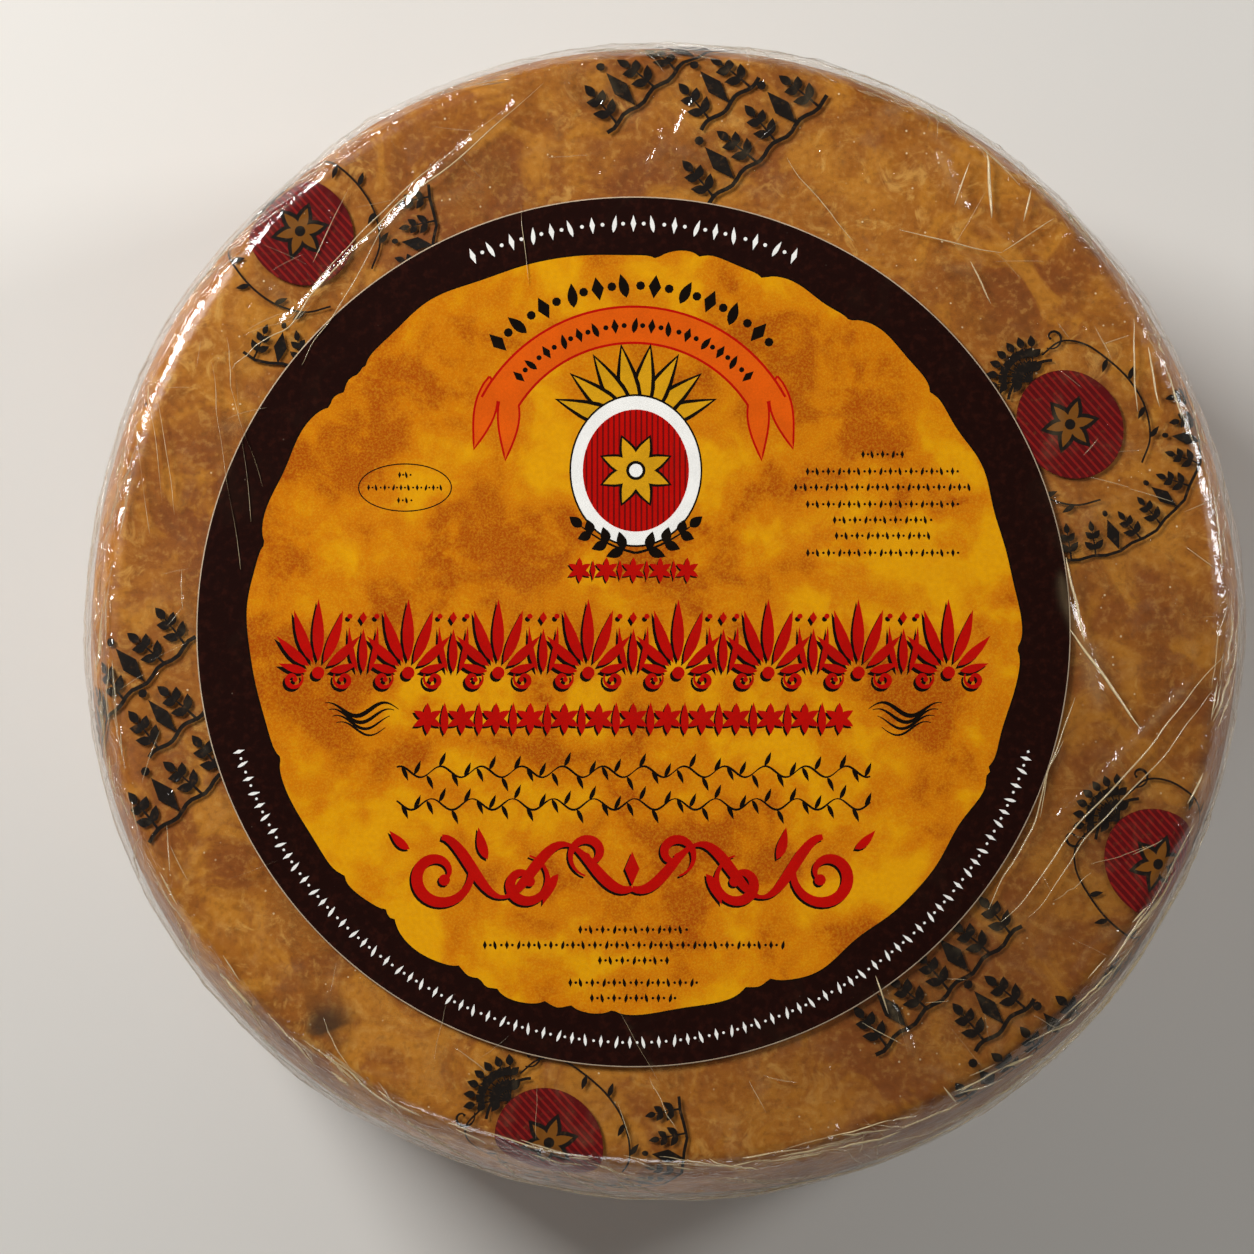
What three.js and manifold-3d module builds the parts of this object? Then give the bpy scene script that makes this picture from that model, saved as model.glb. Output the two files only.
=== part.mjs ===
// An aged cheese wheel as it is sold: the cheese, a printed clear wrap drawn tight round it,
// a round paper label on its top face, and a clear vacuum pouch over all of them.
// Millimetres, +Z up, the wheel lies flat on z = 0 with the label's top towards +Y.
import * as THREE from "three";
import { mergeVertices } from "three/addons/utils/BufferGeometryUtils.js";
import Module from "manifold-3d";

const wasm = await Module();
wasm.setup();

// Driving dimensions
const wheelDiameter = 198; // over the pouch, at mid-height
const wheelHeight = 90;
const faceRadius = 90.5; // the flat part of each face
const sideFullness = 2.2; // exponent of the superellipse that rounds the side: higher is squarer
const filmThickness = 0.2;
const paperThickness = 0.3;
const gap = 0.3; // between pieces that touch
const labelRadius = 71.4;
const labelOffset = new THREE.Vector2(-5.2, -3.7); // the label is stuck on off centre
const wrapMouthRadius = 20; // the films' open ends meet under the wheel
const pouchMouthRadius = 12;

// Pressed in a cloth-lined mould, the wheel is a little out of round: mm at the rim, degrees.
const lobes = [
  { count: 3, size: 0.5, peak: -32 },
  { count: 4, size: 0.4, peak: 37 },
];

const turns = 72; // steps round the wheel
const sideSteps = 14; // steps up the rounded side

// How deep each layer lies under the pouch's outside; the label takes room on top only.
const wrapInset = filmThickness + gap;
const cheeseInset = wrapInset + filmThickness + gap;
const labelRoom = paperThickness + gap;

function outOfRound(angle) {
  return lobes.reduce(
    (sum, { count, size, peak }) =>
      sum + size * Math.cos(count * (angle - THREE.MathUtils.degToRad(peak))),
    0,
  );
}

// The wheel's outline, inset all round and lowered on top, as a closed solid.
function wheelBody(inset, lowered = 0) {
  const base = inset;
  const top = wheelHeight - inset - lowered;
  const halfHeight = (top - base) / 2;
  const sideDepth = wheelDiameter / 2 - inset - faceRadius;
  const outline = [new THREE.Vector2(0, base)];
  for (let i = 0; i <= sideSteps; i++) {
    const t = Math.PI * (i / sideSteps - 0.5);
    const across = Math.max(Math.cos(t), 0) ** (2 / sideFullness);
    const up = Math.sign(t) * Math.abs(Math.sin(t)) ** (2 / sideFullness);
    outline.push(
      new THREE.Vector2(
        faceRadius + sideDepth * across,
        base + halfHeight * (1 + up),
      ),
    );
  }
  outline.push(new THREE.Vector2(0, top));

  const body = new THREE.LatheGeometry(outline, turns).rotateX(Math.PI / 2);
  const place = body.getAttribute("position");
  for (let i = 0; i < place.count; i++) {
    const angle = Math.atan2(place.getY(i), place.getX(i));
    const stretch = 1 + outOfRound(angle) / (wheelDiameter / 2);
    place.setX(i, place.getX(i) * stretch);
    place.setY(i, place.getY(i) * stretch);
  }
  return body;
}

function upright(radius, height, segments = turns) {
  return new THREE.CylinderGeometry(radius, radius, height, segments).rotateX(
    Math.PI / 2,
  );
}

function toSolid(geometry) {
  const bare = geometry.clone().deleteAttribute("normal").deleteAttribute("uv");
  const merged = mergeVertices(bare, 1e-3);
  return new wasm.Manifold(
    new wasm.Mesh({
      numProp: 3,
      vertProperties: merged.getAttribute("position").array,
      triVerts: new Uint32Array(merged.index.array),
    }),
  );
}

function toGeometry(solid) {
  const { vertProperties, triVerts } = solid.getMesh();
  const geometry = new THREE.BufferGeometry();
  geometry.setAttribute(
    "position",
    new THREE.BufferAttribute(vertProperties, 3),
  );
  geometry.setIndex(new THREE.BufferAttribute(triVerts, 1));
  geometry.computeVertexNormals();
  return geometry;
}

// A skin of film round the wheel, open at a round mouth in its underside.
function filmSkin(inset, lowered, mouthRadius) {
  const outside = toSolid(wheelBody(inset, lowered));
  const inside = toSolid(wheelBody(inset + filmThickness, lowered));
  const mouth = toSolid(
    upright(mouthRadius, wheelHeight / 2).translate(0, 0, inset),
  );
  return toGeometry(outside.subtract(inside).subtract(mouth));
}

function piece(name, geometry, look) {
  const mesh = new THREE.Mesh(geometry, new THREE.MeshStandardMaterial(look));
  mesh.name = name;
  return mesh;
}

const clearFilm = { transparent: true, roughness: 0.15, metalness: 0 };

const cheese = piece("cheese", wheelBody(cheeseInset, labelRoom), {
  color: 0xc48b45,
  roughness: 0.55,
  metalness: 0,
});

const printedWrap = piece(
  "printed_wrap",
  filmSkin(wrapInset, labelRoom, wrapMouthRadius),
  { ...clearFilm, color: 0xd9c7a4, opacity: 0.35 },
);

const label = piece("label", upright(labelRadius, paperThickness), {
  color: 0x4a2a1c,
  roughness: 0.45,
  metalness: 0,
});
label.position.set(
  labelOffset.x,
  labelOffset.y,
  wheelHeight - filmThickness - gap - paperThickness / 2,
);

const vacuumPouch = piece(
  "vacuum_pouch",
  filmSkin(0, 0, pouchMouthRadius),
  { ...clearFilm, color: 0xf2ead8, opacity: 0.2 },
);

const wheel = new THREE.Group();
wheel.add(cheese, printedWrap, label, vacuumPouch);

// Stand the out-of-round wheel with the middle of its box over the origin.
const middle = new THREE.Box3()
  .setFromObject(wheel)
  .getCenter(new THREE.Vector3());
wheel.position.set(-middle.x, -middle.y, 0);

export default wheel;
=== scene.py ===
import itertools
import math

import bpy
import numpy as np
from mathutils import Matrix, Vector
from mathutils.geometry import delaunay_2d_cdt


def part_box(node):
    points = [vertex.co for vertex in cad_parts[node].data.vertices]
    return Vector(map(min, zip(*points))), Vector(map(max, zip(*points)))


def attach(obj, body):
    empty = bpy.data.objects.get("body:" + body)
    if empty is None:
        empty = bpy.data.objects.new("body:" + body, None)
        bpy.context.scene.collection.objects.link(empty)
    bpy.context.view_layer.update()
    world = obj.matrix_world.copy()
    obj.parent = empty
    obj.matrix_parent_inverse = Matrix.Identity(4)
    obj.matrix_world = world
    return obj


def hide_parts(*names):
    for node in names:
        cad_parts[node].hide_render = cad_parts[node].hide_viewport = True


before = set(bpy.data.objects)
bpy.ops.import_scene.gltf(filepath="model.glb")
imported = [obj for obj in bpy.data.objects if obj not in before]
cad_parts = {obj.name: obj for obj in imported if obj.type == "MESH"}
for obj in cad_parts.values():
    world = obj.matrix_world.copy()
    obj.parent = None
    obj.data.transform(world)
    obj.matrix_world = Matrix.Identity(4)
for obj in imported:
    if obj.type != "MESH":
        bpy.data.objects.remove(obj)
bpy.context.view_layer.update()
mm = 0.001

# Every length below is in millimetres and turned into metres when a mesh is made.
wheelLow, wheelHigh = (np.array(corner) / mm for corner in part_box("vacuum_pouch"))
wheelHeight = wheelHigh[2] - wheelLow[2]
wheelRadius = (wheelHigh[0] - wheelLow[0]) / 2
labelLow, labelHigh = (np.array(corner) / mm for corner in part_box("label"))
labelRadius = (labelHigh[0] - labelLow[0]) / 2
labelMiddle = (labelLow + labelHigh)[:2] / 2
wheelShape = {
    "faceShare": 0.912,  # flat part of each face, as a share of the radius
    "fullness": 2.2,  # how square the rounded side is
    "lobes": ((3, 0.5, -32), (4, 0.4, 37)),  # out of round: count, mm, degrees
    "middle": (0.0, -0.5),  # which puts the middle of its box over the origin
    "swell": ((42, 0.55, 11), (17, 0.22, 12)),  # soft dents in everything: size, mm, seed
}


# small tools
class Socket:
    # a node's output that can be used in sums
    def __init__(self, graph, out):
        self.graph = graph
        self.out = out

    def maths(self, operation, *values):
        return self.graph.add("ShaderNodeMath", {"operation": operation}, dict(enumerate(values)))

    def __add__(self, other):
        return self.maths("ADD", self, other)

    def __radd__(self, other):
        return self.maths("ADD", other, self)

    def __sub__(self, other):
        return self.maths("SUBTRACT", self, other)

    def __rsub__(self, other):
        return self.maths("SUBTRACT", other, self)

    def __mul__(self, other):
        return self.maths("MULTIPLY", self, other)

    def __rmul__(self, other):
        return self.maths("MULTIPLY", other, self)

    def __pow__(self, other):
        return self.maths("POWER", self, other)

    def __abs__(self):
        return self.maths("ABSOLUTE", self)

    def clamped(self):
        return self.maths("MINIMUM", self.maths("MAXIMUM", self, 0.0), 1.0)


class Graph:
    # the node tree of a new material of that name, or of the world
    def __init__(self, owner):
        self.owner = bpy.data.materials.new(owner) if isinstance(owner, str) else owner
        self.owner.use_nodes = True
        self.tree = self.owner.node_tree
        self.tree.nodes.clear()

    def add(self, kind, settings=None, sockets=None, output=0):
        node = self.tree.nodes.new(kind)
        for name, value in (settings or {}).items():
            setattr(node, name, value)
        for name, value in (sockets or {}).items():
            if isinstance(value, Socket):
                self.tree.links.new(value.out, node.inputs[name])
            else:
                node.inputs[name].default_value = value
        return Socket(self, node.outputs[output])

    def places(self, stretch=(1, 1, 1)):
        # millimetres on the piece, stretched along an axis if asked
        spot = self.add("ShaderNodeTexCoord", output=3)
        scale = tuple(share / mm for share in stretch)
        return self.add("ShaderNodeVectorMath", {"operation": "MULTIPLY"}, {0: spot, 1: scale})

    def noise(self, size, detail=3.0, rough=0.55, warp=0.0, places=None):
        sockets = {"Vector": places or self.places(), "Scale": 1 / size, "Detail": detail}
        sockets |= {"Roughness": rough, "Distortion": warp}
        return self.add("ShaderNodeTexNoise", {"noise_dimensions": "3D"}, sockets)

    def cells(self, size, feature="F1"):
        sockets = {"Vector": self.places(), "Scale": 1 / size}
        return self.add("ShaderNodeTexVoronoi", {"feature": feature}, sockets)

    def step(self, value, low, high):
        # 0 below low, 1 above high, smooth between
        sockets = {"Value": value, "From Min": low, "From Max": high}
        return self.add("ShaderNodeMapRange", {"interpolation_type": "SMOOTHSTEP"}, sockets)

    def mix(self, share, first, second):
        return self.add("ShaderNodeMix", {"data_type": "RGBA"}, {0: share, 6: first, 7: second}, 2)

    def sheen(self, normal, strength):
        # how much a clear skin mirrors, the same from both of its sides
        sockets = {"Blend": 0.5, "Normal": normal}
        facing = self.add("ShaderNodeLayerWeight", {}, sockets, output=1)
        return ((facing**5 * 0.26 + 0.04) * strength).clamped()

    def near(self, spot):
        # 1 at a spot on the wheel, falling to 0 at its reach
        x, y, reach = spot
        ends = {0: self.places((1, 1, 0)), 1: (x, y, 0)}
        away = self.add("ShaderNodeVectorMath", {"operation": "DISTANCE"}, ends, 1)
        return self.step(away, reach, reach * 0.15)

    def value(self, name):
        # a number that addValues stored on the mesh
        return self.add("ShaderNodeAttribute", {"attribute_name": name}, output=2)

    def bump(self, height, distance, strength):
        sockets = {"Height": height, "Distance": distance * mm, "Strength": strength}
        return self.add("ShaderNodeBump", {}, sockets)

    def finish(self, shader):
        isWorld = isinstance(self.owner, bpy.types.World)
        output = self.tree.nodes.new("ShaderNodeOutputWorld" if isWorld else "ShaderNodeOutputMaterial")
        self.tree.links.new(shader.out, output.inputs[0])
        return self.owner


def hue(code):
    # a screen colour such as "c48b45" as linear red, green, blue, alpha
    parts = [int(code[i : i + 2], 16) / 255 for i in (0, 2, 4)]
    return (*[(p / 12.92 if p < 0.04 else ((p + 0.055) / 1.055) ** 2.4) for p in parts], 1.0)


def smooth(value, low, high):
    t = np.clip((value - low) / (high - low), 0, 1)
    return t * t * (3 - 2 * t)


def polar(turn, reach):
    # places in the plane from angles and distances
    return np.stack([reach * np.cos(turn), reach * np.sin(turn)], axis=1)


def cloud(points, size, seed):
    # smooth lattice noise from -1 to 1 with features about that size
    lattice = np.random.default_rng(seed).uniform(-1, 1, (32, 32, 32))
    cell = np.floor(points / size).astype(int)
    part = points / size - cell
    part = part * part * (3 - 2 * part)
    total = np.zeros(len(points))
    for corner in itertools.product((0, 1), repeat=3):
        share = np.prod(np.where(corner, part, 1 - part), axis=1)
        total += share * lattice[tuple(((cell + corner) % 32).T)]
    return total


def facingUp(shapes):
    # every outline anticlockwise, without the ones that are too thin to print
    kept = []
    for ink, outline in shapes:
        x, y = outline.T
        area = (np.dot(x, np.roll(y, -1)) - np.dot(y, np.roll(x, -1))) / 2
        if abs(area) > 1e-4:
            kept.append((ink, outline if area > 0 else outline[::-1]))
    return kept


def printedOn(spots, faces, outlines):
    # the topmost outline over each triangle, counted from 1, or 0 for bare ground
    centres = spots[np.array([list(face) for face in faces])].mean(axis=1)
    order = np.argsort(centres[:, 0])
    x, y = centres[order].T
    topmost = np.zeros(len(faces), int)
    for number, outline in enumerate(outlines, 1):
        low, high = outline.min(axis=0), outline.max(axis=0)
        first, last = np.searchsorted(x, (low[0], high[0]))
        near = first + np.flatnonzero((y[first:last] >= low[1]) & (y[first:last] <= high[1]))
        x0, y0 = outline.T
        x1, y1 = np.roll(outline, -1, axis=0).T
        rise = np.where(y1 == y0, 1, y1 - y0)
        u, v = x[near, None], y[near, None]
        crossed = ((y0 > v) != (y1 > v)) & (u < (x1 - x0) * (v - y0) / rise + x0)
        topmost[order[near[crossed.sum(axis=1) % 2 == 1]]] = number
    return topmost.tolist()


def makeObject(name, points, faces, materials, slots=None):
    mesh = bpy.data.meshes.new(name)
    mesh.from_pydata((np.asarray(points) * mm).tolist(), [], faces)
    for material in materials:
        mesh.materials.append(material)
    if slots is not None:
        mesh.polygons.foreach_set("material_index", slots)
    mesh.polygons.foreach_set("use_smooth", [True] * len(mesh.polygons))
    mesh.update()
    piece = bpy.data.objects.new(name, mesh)
    bpy.context.scene.collection.objects.link(piece)
    return piece


def addValues(piece, values):
    for name, value in values.items():
        layer = piece.data.attributes.new(name, "FLOAT", "POINT")
        layer.data.foreach_set("value", np.asarray(value, np.float32))


# the wheel's outline, shared by the cheese and both films
def section(gaps):
    # half section from the middle of the top, round the side, to the middle of the underside
    # gaps: how far it lies inside the wheel's outline at the side, the top and the underside
    side, over, under = gaps
    face = wheelRadius * wheelShape["faceShare"]
    top = wheelHeight - over
    half = (top - under) / 2
    power = 2 / wheelShape["fullness"]
    turn = np.linspace(math.pi / 2, -math.pi / 2, 400)
    across = np.clip(np.cos(turn), 0, 1) ** power
    up = np.sign(turn) * np.abs(np.sin(turn)) ** power
    r = np.concatenate([[0], face + (wheelRadius - side - face) * across, [0]])
    z = np.concatenate([[top], under + half * (1 + up), [under]])
    run = np.concatenate([[0], np.cumsum(np.hypot(np.diff(r), np.diff(z)))])
    return {"run": run, "r": r, "z": z, "face": face, "length": run[-1]}


def onSection(shape, run, angle, lift=0.0):
    # points at a distance from the middle of the top and an angle round the wheel
    near = 0.4
    r = np.interp(run, shape["run"], shape["r"])
    z = np.interp(run, shape["run"], shape["z"])
    dr = np.interp(run + near, shape["run"], shape["r"]) - np.interp(run - near, shape["run"], shape["r"])
    dz = np.interp(run + near, shape["run"], shape["z"]) - np.interp(run - near, shape["run"], shape["z"])
    size = np.maximum(np.hypot(dr, dz), 1e-9)
    r = np.maximum(r - lift * dz / size, 0)
    z = z + lift * dr / size
    stretch = 1.0
    for count, amount, peak in wheelShape["lobes"]:
        stretch = stretch + amount / wheelRadius * np.cos(count * (angle - math.radians(peak)))
    x, y = wheelShape["middle"]
    return np.stack([x + r * stretch * np.cos(angle), y + r * stretch * np.sin(angle), z], axis=1)


def swell(points):
    # soft dents that the cheese, the films and the label share; none at the underside
    total = sum(amount * cloud(points, size, seed) for size, amount, seed in wheelShape["swell"])
    return total * smooth(points[:, 2], 2, 12)


def rings(start, end, spacing, shape):
    # staggered rings of points between two distances from the middle of the top
    runs, angles = [], []
    run, row = start, 0
    while run < end:
        gap = spacing(run)
        girth = 2 * math.pi * np.interp(run, shape["run"], shape["r"])
        count = max(6, round(girth / gap))
        angle = (np.arange(count) + 0.5 * (row % 2)) / count * 2 * math.pi
        runs.append(np.full(count, run))
        angles.append(angle)
        run += gap * 0.866
        row += 1
    return np.concatenate(runs), np.concatenate(angles)


def wrapMesh(shape, spacing, inks=()):
    # a closed mesh round the wheel: an unrolled disc for the top and side, a flat disc for the underside
    # gives distances, angles, faces and the ink on each face
    seam = shape["length"] - shape["face"]
    count = 240
    seamAngles = np.arange(count) / count * 2 * math.pi
    run, angle = rings(spacing(0) * 0.5, seam - spacing(seam) * 0.6, spacing, shape)
    run = np.concatenate([[0.0], run, np.full(count, seam)])
    angle = np.concatenate([[0.0], angle, seamAngles])
    flat = [Vector((s * math.cos(a), s * math.sin(a))) for s, a in zip(run, angle)]
    outlines = []
    for _, polygon in inks:
        outlines.append(list(range(len(flat), len(flat) + len(polygon))))
        flat.extend(Vector(spot) for spot in polygon)
    spots, _, faces, _, _, _ = delaunay_2d_cdt(flat, [], outlines, 0, 1e-4, True)
    spots = np.array([tuple(spot) for spot in spots])
    slots = printedOn(spots, faces, [outline for _, outline in inks])
    run = np.hypot(spots[:, 0], spots[:, 1])
    angle = np.arctan2(spots[:, 1], spots[:, 0])
    edge = [int(np.hypot(*(spots - spot).T).argmin()) for spot in polar(seamAngles, np.full(count, seam))]

    # underside: plain rings inside the seam ring
    under, last = [], edge
    reach = shape["face"]
    while reach > 12:
        step = 4.0 if reach > 60 else 6.0
        reach -= step
        first = len(run)
        run = np.concatenate([run, np.full(count, shape["length"] - reach)])
        angle = np.concatenate([angle, seamAngles])
        now = list(range(first, first + count))
        for i in range(count):
            j = (i + 1) % count
            under.append((last[i], now[i], now[j], last[j]))
        last = now
    middle = len(run)
    run = np.append(run, shape["length"])
    angle = np.append(angle, 0.0)
    under += [(last[i], middle, last[(i + 1) % count]) for i in range(count)]
    return run, angle, [tuple(face) for face in faces], under, slots


print("tools ready")


# printed shapes: each is an ink name and an outline in millimetres
def arcLine(x, y, radius, start, end, steps):
    turn = np.radians(np.linspace(start, end, steps))
    return np.stack([x + radius * np.cos(turn), y + radius * np.sin(turn)], axis=1)


def disc(ink, x, y, radius, steps=20, squash=1.0):
    turn = np.arange(steps) / steps * 2 * math.pi
    return [(ink, np.stack([x + radius * np.cos(turn), y + radius * squash * np.sin(turn)], axis=1))]


def leaf(ink, x, y, angle, length, width, bend=0.0, steps=7):
    # an almond from its stalk at x, y
    along = np.linspace(0, 1, steps)
    belly = np.sin(math.pi * along**0.8) * width / 2
    curve = bend * along**2 * length
    left = np.stack([along * length, curve + belly], axis=1)
    right = np.stack([along * length, curve - belly], axis=1)[1:-1][::-1]
    return placed([(ink, np.concatenate([left, right]))], x, y, angle)


def lozenge(ink, x, y, width, height):
    corners = np.array([(width / 2, 0), (0, height / 2), (-width / 2, 0), (0, -height / 2)])
    return placed([(ink, corners)], x, y)


def stroke(ink, points, widths):
    # a pen line of changing width, as a chain of triangles
    points = np.asarray(points, float)
    widths = np.broadcast_to(widths, len(points)) / 2
    ahead = np.gradient(points, axis=0)
    ahead /= np.maximum(np.linalg.norm(ahead, axis=1, keepdims=True), 1e-9)
    side = np.stack([-ahead[:, 1], ahead[:, 0]], axis=1) * widths[:, None]
    left, right = points + side, points - side
    shapes = []
    for i in range(len(points) - 1):
        shapes.append((ink, np.array([left[i], right[i], right[i + 1]])))
        shapes.append((ink, np.array([left[i], right[i + 1], left[i + 1]])))
    return shapes


def swelling(steps, thin, thick):
    # pen pressure: thin at both ends, thick in the middle
    return thin + (thick - thin) * np.sin(np.linspace(0, math.pi, steps)) ** 1.3


def curl(ink, x, y, radius, start, turns, thin, thick, steps=34):
    # a spiral that winds in from a point at an angle round its middle
    turn = math.radians(start) + np.linspace(0, turns * 2 * math.pi, steps)
    reach = radius * np.linspace(1, 0.2, steps)
    line = np.stack([x + reach * np.cos(turn), y + reach * np.sin(turn)], axis=1)
    return stroke(ink, line, swelling(steps, thin, thick)) + disc(ink, *line[-1], thick * 0.5, 10)


def placed(shapes, x, y, angle=0.0):
    turn = math.radians(angle)
    spin = np.array([[math.cos(turn), -math.sin(turn)], [math.sin(turn), math.cos(turn)]])
    return [(ink, outline @ spin.T + (x, y)) for ink, outline in shapes]


def mirrored(shapes, side):
    # left and right swapped where side is -1
    return [(ink, outline * (side, 1)) for ink, outline in shapes]


def shadowed(shapes, slide):
    # the same shapes in black, a little down and left, under themselves
    return placed([("black", outline) for _, outline in shapes], *slide) + shapes


def rosette(ink, x, y, radius, count, width, turn):
    shapes = []
    for i in range(count):
        shapes += leaf(ink, x, y, turn + i * 360 / count, radius, width)
    return shapes


def sprig(ink, x, y, angle, length, pairs, leafLength, leafWidth, bend):
    # a stem with paired leaves and one at its tip
    along = np.linspace(0, 1, 10)
    line = np.stack([along * length, bend * along**2 * length], axis=1)
    shapes = stroke(ink, line, np.linspace(leafWidth * 0.28, leafWidth * 0.14, 10))
    for i in range(pairs):
        share = (i + 0.7) / (pairs + 0.3)
        spot = np.array([share * length, bend * share**2 * length])
        size = leafLength * (1 - 0.35 * share)
        for side in (-1, 1):
            shapes += leaf(ink, *spot, side * 48 + bend * 60, size, leafWidth)
    shapes += leaf(ink, *line[-1], bend * 110, leafLength * 0.8, leafWidth)
    return placed(shapes, x, y, angle)


def beads(ink, width, height, weight=1.0):
    # an even row of leaves that lean in turn to either side, lozenges and dots
    shapes = []
    count = max(3, round(width / (height * 0.56)))
    for i in range(count):
        x = ((i + 0.5) / count - 0.5) * width
        if i % 2:
            shapes += disc(ink, x, 0, height * 0.15 * weight, 8)
        elif i % 4 == 0:
            shapes += lozenge(ink, x, 0, height * 0.42 * weight, height * 0.95)
        else:
            lean = 12 if i % 8 == 2 else -12
            shapes += leaf(ink, x, -height * 0.48, 90 + lean, height * 0.98, height * 0.34 * weight)
    return shapes


def onArc(shapes, x, y, radius, middle):
    # bends a row laid along x round an arc, its foot towards the arc's middle (or away if radius < 0)
    bent = []
    for ink, outline in shapes:
        turn = math.radians(middle) - outline[:, 0] / radius
        reach = abs(radius) + outline[:, 1] * np.sign(radius)
        spots = np.stack([x + reach * np.cos(turn), y + reach * np.sin(turn)], axis=1)
        bent.append((ink, spots))
    return bent


# cheese
cheese = {
    "gaps": (1.45, 1.35, 0.7),  # mm inside the wheel's outline at the side, the top and the underside
    "spacing": 1.35,
    "lumps": ((9, 0.10, 21), (4, 0.05, 22)),  # size, mm, seed
    "sideGrooves": 0.16,  # mm, the mould cloth's folds round the side
    "deep": "8a4806",
    "ochre": "a6620c",
    "gold": "c4801c",
    "pale": "d29a46",
    "dark": "5c2e02",
    "speck": "f6dfae",
    "hole": "1a0f08",
    "smudge": (-55, -69, 7),  # a dark bruise on the top: x, y, reach
    "shade": (74, -66, 120),  # painted shade: the rind darker towards its lower right, away from the key light: x, y, reach
}


def cheeseMaterial():
    g = Graph("cheeseRind")
    big = g.noise(27, 3, 0.5, 0.7)
    middle = g.noise(9, 3, 0.5, 0.8)
    fine = g.noise(1.3, 3, 0.6)
    # painted shade: the rind's colour is darkened and its pale flakes thinned towards its lower right,
    # where less light falls
    paintedShade = g.near(cheese["shade"])
    mottle = big * 0.55 + middle * 0.45 - paintedShade * 0.05
    colour = g.mix(g.step(mottle, 0.37, 0.60), hue(cheese["deep"]), hue(cheese["ochre"]))
    flow = g.noise(13, 4, 0.55, 1.3)
    colour = g.mix(g.step(flow, 0.48, 0.66) * 0.75, colour, hue(cheese["gold"]))
    colour = g.mix(g.step(flow, 0.46, 0.34) * 0.26, colour, hue(cheese["dark"]))
    flakes = g.step(g.noise(5, 6, 0.68, 1.2), 0.52, 0.68) * g.step(big, 0.42, 0.58)
    colour = g.mix(flakes * (0.8 - paintedShade * 0.35), colour, hue(cheese["pale"]))
    colour = g.mix(g.step(fine, 0.50, 0.72) * 0.34, colour, hue(cheese["pale"]))
    colour = g.mix(g.step(fine, 0.50, 0.28) * 0.34, colour, hue(cheese["dark"]))
    speck = g.step(g.cells(1.9), 0.12, 0.06) * g.step(middle, 0.50, 0.60)
    colour = g.mix(speck * 0.75, colour, hue(cheese["speck"]))
    hole = g.step(g.cells(13), 0.034, 0.02)
    bruise = g.near(cheese["smudge"]) * g.step(middle, 0.36, 0.60)
    colour = g.mix((hole + bruise * 0.85).clamped(), colour, hue(cheese["hole"]))
    colour = g.mix(paintedShade * 0.42, colour, hue(cheese["dark"]))
    height = big * 0.5 + middle * 0.5 + fine * 0.16 - hole * 0.6
    sockets = {"Base Color": colour, "Roughness": 0.44 + fine * 0.25}
    sockets |= {"Normal": g.bump(height, 0.5, 0.5), "Specular IOR Level": 0.3}
    return g.finish(g.add("ShaderNodeBsdfPrincipled", {}, sockets))


def buildCheese():
    shape = section(cheese["gaps"])
    run, angle, top, under, _ = wrapMesh(shape, lambda s: cheese["spacing"])
    base = onSection(shape, run, angle)
    lift = swell(base)
    for size, amount, seed in cheese["lumps"]:
        lift += amount * (cloud(base, size, seed) - 1)
    side = smooth(run, shape["face"] + 2, shape["face"] + 14) * smooth(base[:, 2], 4, 14)
    tilt = base[:, 2] + 0.10 * wheelRadius * angle + 4 * cloud(base, 30, 23)
    lift -= cheese["sideGrooves"] * side * (1 + np.sin(tilt / 1.6))
    lift = np.where(base[:, 2] < cheese["gaps"][2] + 0.01, np.minimum(lift, 0), lift)
    piece = makeObject("cheeseBody", onSection(shape, run, angle, lift), top + under, [cheeseMaterial()])
    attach(piece, "root")
    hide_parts("cheese")


buildCheese()
print("cheese ready")


# label
label = {
    "thickness": 0.25,
    "spacing": 2.4,
    "edge": 0.18,  # the bare cut edge of the paper
    "parchment": 62.7,  # mean radius of the torn-edged middle
    "tear": 0.9,  # how far its edge wanders
    "notches": (26, 1.0, 1.2),  # in that edge: how many, depth, width
    "outline": 0.28,  # the dark line round it
    "sink": 0.12,  # how far the paper is pressed below its place in the CAD model
    # blocks of small rows: x, height of a row, and each row's y and width
    "smallRows": (
        (40.8, 1.5, ((28.6, 7.2), (25.8, 25.4), (23.2, 29.3), (20.4, 25.4))),
        (40.8, 1.5, ((17.8, 16.6), (15.2, 16.0), (12.4, 25.4))),
        (0.0, 1.6, ((-49.1, 18.2), (-51.6, 49.2), (-54.1, 11.8), (-57.7, 21.4), (-60.2, 14.4))),
    ),
    "gloss": 0.5,
    "brown": "1a0401",
    "light": "e09c00",
    "warm": "cc7400",
    "burnt": "a84a00",
    "rust": "b46400",
    "straw": "f4bc28",
    "scuff": "2a0c05",
    "dust": "8a7868",
}


def tornEdge(radius, rng):
    # an irregular scalloped outline
    turn = np.linspace(0, 2 * math.pi, 541)[:-1]
    reach = np.full(len(turn), radius)
    for count in range(3, 30):
        size = label["tear"] * rng.uniform(0.4, 1.0) * (0.32 if count < 9 else 0.16)
        reach += size * np.cos(count * turn + rng.uniform(0, 2 * math.pi))
    number, depth, width = label["notches"]
    notches = rng.uniform(0, 2 * math.pi, number)
    gap = np.min(np.abs((turn[:, None] - notches + math.pi) % (2 * math.pi) - math.pi), axis=1) * radius
    reach -= depth * np.exp(-gap / width)
    return turn, reach


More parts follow.
